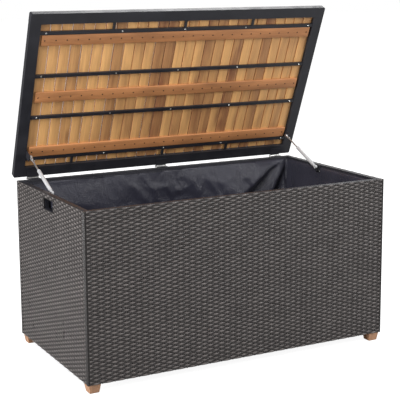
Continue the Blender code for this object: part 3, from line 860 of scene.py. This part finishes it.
class DECKBOX_OT_boards(bpy.types.Operator):
    """Lay the lid's slats and the three battens that carry them"""
    bl_idname = "deckbox.boards"
    bl_label = "Slats and Battens"

    def execute(self, context):
        settings = context.scene.deckbox_lid
        tree = board_tree()
        slat_wood = wood_material("slat_wood", settings.pale, settings.brown)
        batten_wood = wood_material("batten_wood", settings.red,
                                    [c * 0.32 for c in settings.red])
        shares = {"Edge": settings.edge, "Narrowest": 0.953, "Widest": 0.98}
        start, end = LID_MEMBER + SLAT_END_GAP, LID_LENGTH - LID_MEMBER - SLAT_END_GAP
        mesh = grow(tree, {"Count": SLATS, "Pitch": SLAT_PITCH, "Width": SLAT_WIDTH,
                           "Length": end - start, "Thickness": SLAT_TOP - SLAT_BOTTOM,
                           "Seed": 5, "Material": slat_wood, **shares})
        numbers = np.zeros(len(mesh.vertices), np.int32)
        mesh.attributes["board"].data.foreach_get("value", numbers)
        tones = np.array([DARK_SLATS.get(n + 1, 0.04 + 0.16 * ((n * 7) % 5) / 4)
                          for n in range(SLATS)])
        self.dress(mesh, numbers, tones[numbers])
        middle = lid_point(0, (start + end) / 2, SLAT_BOTTOM)
        mesh.transform(LID_PLACE @ Matrix.Translation(middle))
        add_piece("lid_slats", mesh, slat_wood, "lid",
                  ["lid_slat_%02d" % (n + 1) for n in range(SLATS)])
        for index, (name, along) in enumerate(BATTENS.items()):
            mesh = grow(tree, {"Count": 1, "Pitch": 0.0, "Width": BATTEN_WIDTH,
                               "Length": BATTEN_LENGTH, "Seed": 11, "Material": batten_wood,
                               "Thickness": BATTEN_TOP - BATTEN_BOTTOM, **shares})
            self.dress(mesh, np.full(len(mesh.vertices), 40 + index), 0.25 + 0.1 * index)
            place = Matrix.Translation(lid_point(0, along, BATTEN_BOTTOM))
            mesh.transform(LID_PLACE @ place @ Matrix.Rotation(pi / 2, 4, "Z"))
            add_piece("lid_%s_batten" % name, mesh, batten_wood, "lid",
                      ["lid_batten_" + name])
        return {"FINISHED"}

    def dress(self, mesh, numbers, tones):
        """Give each board its own stretch of grain and its own tone."""
        x, y, z = point_table(mesh).T
        shift = np.asarray(numbers)[:, None] * np.array([[1.37, 0.113, 0.071]])
        set_number(mesh, "grain", np.stack([y, x, z], 1) + shift, "FLOAT_VECTOR")
        set_number(mesh, "tone", np.broadcast_to(tones, len(x)))
        crisp(mesh, 40)


class DECKBOX_OT_feet(bpy.types.Operator):
    """Shape the four tapered wooden feet"""
    bl_idname = "deckbox.feet"
    bl_label = "Feet"
    TAPER = 35 / 45

    def execute(self, context):
        settings = context.scene.deckbox_lid
        wood = wood_material("foot_wood", settings.foot, [c * 0.35 for c in settings.foot])
        for index, end in enumerate(("front_left", "front_right", "back_left", "back_right")):
            low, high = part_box("foot_" + end)
            centre = (low + high) / 2
            bm = bmesh.new()
            bmesh.ops.create_cube(bm, size=1, matrix=Matrix.LocRotScale(centre, None,
                                                                        high - low))
            for vert in bm.verts:
                if vert.co.z < centre.z:
                    vert.co.xy = centre.xy + (vert.co.xy - centre.xy) * self.TAPER
            mesh = rounded(mesh_from(bm, "foot"), 2.2 * MM)
            x, y, z = point_table(mesh).T
            set_number(mesh, "grain", np.stack([z, x, y], 1) + 0.31 * index, "FLOAT_VECTOR")
            set_number(mesh, "tone", np.full(len(x), 0.3))
            add_piece(end + "_foot", mesh, wood, "box", ["foot_" + end])
        return {"FINISHED"}


class DECKBOX_OT_hardware(bpy.types.Operator):
    """Finish the hinges and strut brackets and drive in all the screws"""
    bl_idname = "deckbox.hardware"
    bl_label = "Hinges and Screws"
    COATED = 7 * MM
    BRACKET_FACE = HALF_WIDTH - 28.9 * MM

    def screws(self, points, place, radius, height, material):
        """Set screw heads on points of one plane, sized in millimetres."""
        source = bpy.data.meshes.new("screw_points")
        source.from_pydata([Vector(point) for point in points], [], [])
        mesh = grow(self.tree, {"Radius": radius * MM, "Height": height * MM,
                                "Material": material}, source)
        mesh.transform(place)
        return mesh

    def lid_screws(self, name, rows, xs, bottom, radius, height, material):
        """Set rows of screw heads across the lid's underside."""
        heads = [(x, LID_EDGE + along, -(LID_LIFT + bottom)) for along in rows for x in xs]
        under = LID_PLACE @ Matrix.Rotation(pi, 4, "X")
        add_piece(name, self.screws(heads, under, radius, height, material), material, "lid")

    def execute(self, context):
        self.tree = screw_tree()
        zinc = brushed_material("hinge_zinc", (0.60, 0.60, 0.58), 0)
        coat = coat_material("bracket_coat", context.scene.deckbox_lid.coat)
        dark = brushed_material("wood_screw", (0.07, 0.05, 0.04), 0, 0.4, 0.6)
        bright = brushed_material("bar_screw", (0.72, 0.72, 0.70), 0)
        for side in ("left", "middle", "right"):
            for node, body in (("box_leaf", "box"), ("lid_leaf", "lid"), ("pin", "box")):
                name = "hinge_%s_%s" % (side, node)
                mesh = cleaned_copy(name)
                crisp(mesh, 35)
                add_piece(name + "_zinc", mesh, zinc, body, [name])
                mesh.materials.append(coat)
                for face in mesh.polygons:
                    if (face.center - PIVOT).yz.length > self.COATED:
                        face.material_index = 1
        for side in ("left", "right"):
            node = "strut_%s_bracket" % side
            add_piece(node + "_coated", rounded(cleaned_copy(node), 0.5 * MM), coat, "box",
                      [node])
        slats = [(n - (SLATS - 1) / 2) * SLAT_PITCH for n in range(SLATS)]
        slats = [x for x in slats if abs(x) < BATTEN_LENGTH / 2]
        self.lid_screws("lid_batten_screws", BATTENS.values(), slats, BATTEN_BOTTOM, 2.7, 0.8,
                        dark)
        self.lid_screws("lid_bar_screws", BAR_ALONG, BAR_SCREW_X, BAR_BOTTOM, 3.1, 1.8, bright)
        meshes = []
        for side in ("left", "middle", "right"):
            low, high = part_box("hinge_%s_box_leaf" % side)
            heads = [(x, low.y + y * MM, 0) for y in (9, 19)
                     for x in (low.x + 8 * MM, high.x - 8 * MM)]
            top = Matrix.Translation((0, 0, RIM_Z + 2.1 * MM))
            meshes.append(self.screws(heads, top, 2.6, 0.3, bright))
        for side, sign in (("left", -1), ("right", 1)):
            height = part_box("strut_%s_bracket" % side)[0].z + 7 * MM
            middle = JOINTS["strut_%s_swing" % side]["pos_m"][1]
            heads = [(sign * height, middle + y, 0) for y in (-9 * MM, 9 * MM)]
            turn = (Matrix.Translation((sign * self.BRACKET_FACE, 0, 0))
                    @ Matrix.Rotation(-sign * pi / 2, 4, "Y"))
            meshes.append(self.screws(heads, turn, 2.6, 1.2, bright))
        add_piece("box_screws", joined(meshes, "screws"), bright, "box")
        return {"FINISHED"}


class DECKBOX_OT_struts(bpy.types.Operator):
    """Turn the gas struts: painted cylinder, polished rod and their eyes"""
    bl_idname = "deckbox.struts"
    bl_label = "Gas Struts"
    HEAD = 23.1 * MM
    BORE_SPARE = 12

    def part(self, name, profile, place, centre_x, width, height, material, body):
        """Turn one part from its profile in millimetres, with an eye across it."""
        radius, half, lip = EYE_RADIUS, width / 2, 1.2 * MM
        rim = [(0, -half), (radius - lip, -half), (radius, lip - half),
               (radius, half - lip), (radius - lip, half), (0, half)]
        across = Matrix.Translation((centre_x, 0, height)) @ Matrix.Rotation(pi / 2, 4, "Y")
        turned = lathe([(r * MM, z * MM) for r, z in profile], place)
        mesh = joined([turned, lathe(rim, place @ across)], name)
        add_piece(name, mesh, material, body, [body])

    def execute(self, context):
        paint = coat_material("strut_paint", (0.40, 0.40, 0.41), 1.15, 600.0, 0.28, 0.4)
        chrome = brushed_material("strut_rod_steel", (0.60, 0.60, 0.61), 2, 0.35, 0.5)
        stroke = -JOINTS["strut_left_slide"]["range_m"][0]
        top = (STRUT_LENGTH - self.HEAD - stroke) / MM
        bore = top - stroke / MM - self.BORE_SPARE
        body = [(0, 5.5), (4.6, 5.5), (5.4, 6.5), (5.4, 12), (4.4, 13), (4.4, 14.5), (6.4, 16),
                (6.7, 17.5), (6.7, top - 9), (6.3, top - 8.4), (6.3, top - 7.4),
                (6.7, top - 6.8), (6.7, top - 2), (5.6, top), (3.4, top), (3.2, top - 2),
                (3.2, bore), (0, bore)]
        end = STRUT_LENGTH / MM
        rod = [(0, top - 6), (2.9, top - 6), (2.9, end - 22.6), (4.0, end - 22.2),
               (5.0, end - 21.2), (5.2, end - 13), (4.2, end - 12), (5.0, end - 9),
               (5.0, end - 4), (0, end - 4)]
        for side, sign in (("left", -1), ("right", 1)):
            axis = JOINTS["strut_%s_slide" % side]["axis"]
            swing = JOINTS["strut_%s_swing" % side]["pos_m"]
            lean = atan2(axis[2], axis[1]) - pi / 2
            place = Matrix.Translation(swing) @ Matrix.Rotation(lean, 4, "X")
            out = TAB_FACE - 1.6 * MM - abs(swing[0])
            self.part("strut_%s_gas_cylinder" % side, body, place, 0, 9.4 * MM, 0, paint,
                      "strut_%s_cylinder" % side)
            self.part("strut_%s_gas_rod" % side, rod, place, sign * (out - 5 * MM) / 2,
                      out + 5 * MM, STRUT_LENGTH, chrome, "strut_%s_rod" % side)
        return {"FINISHED"}


class DECKBOX_OT_liner(bpy.types.Operator):
    """Hang the liner bag from the rim, with its folds, hem and stitching"""
    bl_idname = "deckbox.liner"
    bl_label = "Liner Bag"
    CORNER = 16 * MM
    FLOOR_CORNER = 14 * MM
    INSET = 1.0 * MM
    ROWS = 66
    FLOOR_RINGS = 30
    SPACING = 8.4 * MM
    HALF_Y = (LINER_HIGH.y - LINER_LOW.y) / 2
    END_SLOPE = 0.54
    FAN = 0.5

    def outline(self, inset):
        """Points round the bag at one height, with rounded corners, inset from its walls."""
        half_x, half_y = LINER_HIGH.x - inset, self.HALF_Y - inset
        corner = max(self.CORNER - inset, 0.2 * MM)
        along_x, along_y = (round(2 * half / self.SPACING)
                            for half in (LINER_HIGH.x, self.HALF_Y))
        signs = ((1, -1), (1, 1), (-1, 1), (-1, -1))
        centres = [Vector((sx * (half_x - corner), sy * (half_y - corner)))
                   for sx, sy in signs]
        points = []
        for turn, count in enumerate((along_y, along_x, along_y, along_x)):
            centre, after = centres[turn], centres[(turn + 1) % 4]
            for step in range(6):
                angle = (turn - 1 + step / 6) * pi / 2
                points.append(centre + corner * Vector((cos(angle), sin(angle))))
            arm = corner * Vector((cos(turn * pi / 2), sin(turn * pi / 2)))
            points += [(centre + arm).lerp(after + arm, step / count)
                       for step in range(count)]
        return points

    def ring(self, inset, z):
        """The same points as places at one height."""
        return [(point.x, point.y + MIDDLE_Y, z) for point in self.outline(inset)]

    def fold(self, x, y, z, depth):
        """How far the cloth stands in from its wall at a point, in metres."""
        drop = LINER_HIGH.z - z
        slack = min(1, drop / 0.06) * min(1, (z - LINER_LOW.z) / 0.03)
        busy = min(1, max(0.2, (x + 0.40) / 0.45))
        soft = noise.noise(Vector((x * 5, y * 5, z * 3.2))) + 0.5
        amount = slack * depth * 0.25 * max(soft, 0)
        for scale, share in ((9, 0.45), (19, 0.30), (37, 0.13)):
            crease = 1 - 2.2 * abs(noise.noise(Vector(((x + 0.6 * z) * scale, y * scale,
                                                       (z - 0.5 * x) * scale * 0.6))))
            amount += slack * busy * depth * share * max(crease, 0) ** 2
        # Fans of folds that hang from the rim's corners
        for corner_x, corner_y, strength in ((1, 1, 1.0), (-1, 1, 0.3), (1, -1, 0.6),
                                             (-1, -1, 0.6)):
            across = hypot(corner_x * LINER_HIGH.x - x, corner_y * self.HALF_Y - y)
            reach = hypot(across, drop)
            if reach < self.FAN:
                angle = atan2(drop, across + 0.004)
                wobble = 1.1 * noise.noise(Vector((x * 3, y * 3, z * 3 + corner_x)))
                turns = (angle * 3.1 + wobble + 0.35 * corner_x) % 2
                facet = turns / 1.45 if turns < 1.45 else (2 - turns) / 0.55
                fade = min(1, max(0, (self.FAN - reach) / 0.22)) * min(1, drop / 0.02)
                amount += strength * min(0.21 * reach, depth * 2.2) * facet * fade
        # The struts need room along the ends
        if abs(y) <= abs(x) * self.END_SLOPE:
            amount = min(amount, 3.5 * MM + max(0, drop - 0.05) * 0.2)
        return amount

    def inward(self, point):
        """The direction in from a wall or a rounded corner."""
        x, y = abs(point.x), abs(point.y)
        out = Vector((x - LINER_HIGH.x + self.CORNER, y - self.HALF_Y + self.CORNER))
        if out.x <= 0 or out.y <= 0:
            on_end = x / LINER_HIGH.x > y / self.HALF_Y
            out = Vector((1, 0)) if on_end else Vector((0, 1))
        out.normalize()
        return Vector((-out.x if point.x > 0 else out.x, -out.y if point.y > 0 else out.y))

    def bag(self, depth):
        """The bag's single skin, from the rim down and in to the middle of its floor."""
        bottom = LINER_LOW.z + 0.8 * MM
        walls = self.outline(self.INSET)
        levels = []
        for row in range(self.ROWS + 1):
            z = LINER_HIGH.z + (bottom + self.FLOOR_CORNER - LINER_HIGH.z) * row / self.ROWS
            hung = [point + self.inward(point) * self.fold(point.x, point.y, z, depth)
                    for point in walls]
            levels.append([(at.x, at.y + MIDDLE_Y, z) for at in hung])
        for step in range(1, 5):
            angle = step / 4 * pi / 2
            inset = self.INSET + self.FLOOR_CORNER * (1 - cos(angle))
            z = bottom + self.FLOOR_CORNER * (1 - sin(angle))
            drifts = [(at - wall) * (1 - step / 4) for at, wall in zip(hung, walls)]
            levels.append([(x + drift.x, y + drift.y, z)
                           for (x, y, z), drift in zip(self.ring(inset, z), drifts)])
        reach = self.HALF_Y - self.FLOOR_CORNER - self.INSET
        for step in range(1, self.FLOOR_RINGS + 1):
            inset = self.INSET + self.FLOOR_CORNER + reach * step / self.FLOOR_RINGS
            level = []
            for point in self.outline(min(inset, self.HALF_Y - 0.01 * MM)):
                rise = 2.5 * MM * max(0, noise.noise(Vector((point.x * 7, point.y * 7, 2))))
                level.append((point.x, point.y + MIDDLE_Y, bottom + rise * min(1, step / 3)))
            levels.append(level)
        bm = bmesh.new()
        rings = bridge(bm, levels)
        bmesh.ops.remove_doubles(bm, verts=rings[-1] + rings[-2], dist=0.03 * MM)
        bmesh.ops.recalc_face_normals(bm, faces=bm.faces)
        if sum(face.normal.z * face.calc_area() for face in bm.faces) < 0:
            bmesh.ops.reverse_faces(bm, faces=bm.faces)
        mesh = mesh_from(bm, "liner")
        mesh.shade_smooth()
        return mesh

    def execute(self, context):
        settings = context.scene.deckbox_liner
        cloth = cloth_material("liner_cloth", settings.colour)
        liner = add_piece("liner_cloth_bag", self.bag(settings.fold), cloth, "box",
                          ["liner_bag"])
        thickness = liner.modifiers.new("Cloth", "SOLIDIFY")
        thickness.thickness = 0.6 * MM
        thickness.offset = 0

        hem_cloth = cloth_material("liner_hem_cloth", [c * 0.6 for c in settings.colour])
        top, low = LINER_HIGH.z, LINER_HIGH.z - settings.hem
        outer, inner = 0.5 * MM, 2.0 * MM
        bm = bmesh.new()
        bridge(bm, [self.ring(inset, z) for inset, z in (
            (outer, low), (outer, top - 0.5 * MM), (outer, top), (inner, top),
            (inner, top - 0.5 * MM), (inner, low))], closed=True)
        bmesh.ops.recalc_face_normals(bm, faces=bm.faces)
        mesh = mesh_from(bm, "hem")
        crisp(mesh, 50)
        hem = add_piece("liner_hem", mesh, hem_cloth, "box")

        thread = coat_material("liner_thread", (0.09, 0.09, 0.10), 1.4, 2000.0, 0.5, 0.65)
        tree = stitch_tree()
        seams = []
        for drop in (4 * MM, settings.hem - 4 * MM):
            path = self.ring(2.05 * MM, top - drop)
            source = bpy.data.meshes.new("stitch_path")
            source.from_pydata(path, [(i, (i + 1) % len(path)) for i in range(len(path))], [])
            seams.append(grow(tree, {"Stitch": 6.5 * MM, "Thread": 0.4 * MM,
                                     "Material": thread}, source))
        mesh = joined(seams, "stitches")
        mesh.shade_smooth()
        stitches = add_piece("liner_stitches", mesh, thread, "box")
        return {"FINISHED"}


class DECKBOX_OT_stage(bpy.types.Operator):
    """Set the floor, the soft lights and the camera"""
    bl_idname = "deckbox.stage"
    bl_label = "Stage"
    AZIMUTH = radians(-28.01)
    ELEVATION = radians(10.27)
    ROLL = radians(-0.35)
    EYE = Vector((-1.9075, MIDDLE_Y - 3.5872, FOOT_HEIGHT + 1.3190))
    LENS = 101.2
    SHIFT = -0.05

    def light(self, name, place, target, size, power):
        """Add a soft square light aimed at a point."""
        data = bpy.data.lights.new(name, "AREA")
        data.shape = "SQUARE"
        data.size = size
        data.energy = power
        lamp = bpy.data.objects.new(name, data)
        lamp.location = place
        aim = Vector(target) - Vector(place)
        lamp.rotation_euler = aim.to_track_quat("-Z", "Y").to_euler()
        bpy.context.scene.collection.objects.link(lamp)

    def floor(self, settings):
        """Lay the pale floor."""
        bm = bmesh.new()
        bmesh.ops.create_grid(bm, x_segments=8, y_segments=8, size=30)
        floor = bpy.data.objects.new("studio_floor", mesh_from(bm, "studio_floor"))
        paper, tree, shader = start_material("floor_paper", Roughness=0.8)
        grain = group_node(tree, grain_group, {"Vector": object_place(tree), "Scale": 300.0})
        tinted(tree, shader, grain.outputs["Tint"], settings.floor,
               [c * 1.03 for c in settings.floor])
        seen = add_node(tree, "ShaderNodeLightPath").outputs["Is Camera Ray"]
        tree.links.new(calc(tree, "MULTIPLY", seen, settings.glow),
                       shader.inputs["Emission Strength"])
        shader.inputs["Emission Color"].default_value = (1, 1, 1, 1)
        floor.data.materials.append(paper)
        bpy.context.scene.collection.objects.link(floor)

    def execute(self, context):
        settings = context.scene.deckbox_stage
        self.floor(settings)
        world = bpy.data.worlds.new("studio")
        world.use_nodes = True
        sky = world.node_tree.nodes["Background"]
        sky.inputs["Color"].default_value = (1, 1, 1, 1)
        seen = add_node(world.node_tree, "ShaderNodeLightPath").outputs["Is Camera Ray"]
        glow = calc(world.node_tree, "MULTIPLY_ADD", seen, 1 - settings.sky, settings.sky)
        world.node_tree.links.new(glow, sky.inputs["Strength"])
        context.scene.world = world
        context.scene.view_settings.view_transform = "Standard"
        centre = (0, MIDDLE_Y, 0.45)
        for name, place, target, size in (("top", (-2.0, -1.5, 3.3), centre, 1.5),
                                          ("key", (2.9, -3.1, 2.5), centre, 1.6),
                                          ("rear", (2.2, 3.0, 4.0), centre, 2.2),
                                          ("side", (-3.6, -0.3, 0.55),
                                           (0, MIDDLE_Y, 0.4), 1.2)):
            self.light(name, place, target, size, getattr(settings, name))
        back = Vector((sin(self.AZIMUTH) * cos(self.ELEVATION),
                       -cos(self.AZIMUTH) * cos(self.ELEVATION), sin(self.ELEVATION)))
        right = (-back).cross(Vector((0, 0, 1))).normalized()
        up = right.cross(-back)
        level_right = cos(self.ROLL) * right + sin(self.ROLL) * up
        level_up = cos(self.ROLL) * up - sin(self.ROLL) * right
        data = bpy.data.cameras.new("camera")
        data.lens = self.LENS
        data.sensor_width = 36
        data.shift_y = self.SHIFT
        camera = bpy.data.objects.new("camera", data)
        turn = Matrix((level_right, level_up, back)).transposed()
        camera.matrix_world = Matrix.Translation(self.EYE) @ turn.to_4x4()
        context.scene.collection.objects.link(camera)
        context.scene.camera = camera
        return {"FINISHED"}


class DECKBOX_PT_panel(bpy.types.Panel):
    """The box's settings and its making, in order"""
    bl_idname = "DECKBOX_PT_panel"
    bl_label = "Deck Box"
    bl_space_type = "VIEW_3D"
    bl_region_type = "UI"
    bl_category = "Deck Box"

    def draw(self, context):
        for name in SETTINGS:
            settings = getattr(context.scene, name)
            for key in settings.__annotations__:
                self.layout.prop(settings, key)
        for step in STEPS:
            self.layout.operator(step.bl_idname)


SETTINGS = {"deckbox_weave": DeckBoxWeave, "deckbox_lid": DeckBoxLid,
            "deckbox_liner": DeckBoxLiner, "deckbox_stage": DeckBoxStage}
STEPS = [DECKBOX_OT_stage, DECKBOX_OT_weave, DECKBOX_OT_frames, DECKBOX_OT_lid_frame,
         DECKBOX_OT_boards, DECKBOX_OT_feet, DECKBOX_OT_hardware, DECKBOX_OT_struts,
         DECKBOX_OT_liner]
CLASSES = [*SETTINGS.values(), *STEPS, DECKBOX_PT_panel]


def register():
    """Register the classes and hang the settings on the scene."""
    for item in CLASSES:
        bpy.utils.register_class(item)
    for name, group in SETTINGS.items():
        setattr(bpy.types.Scene, name, bpy.props.PointerProperty(type=group))


def unregister():
    """Undo what register does."""
    for name in SETTINGS:
        delattr(bpy.types.Scene, name)
    for item in reversed(CLASSES):
        bpy.utils.unregister_class(item)


def main():
    """Make every piece."""
    register()
    for step in STEPS:
        group, name = step.bl_idname.split(".")
        getattr(getattr(bpy.ops, group), name)()


if __name__ == "__main__":
    main()
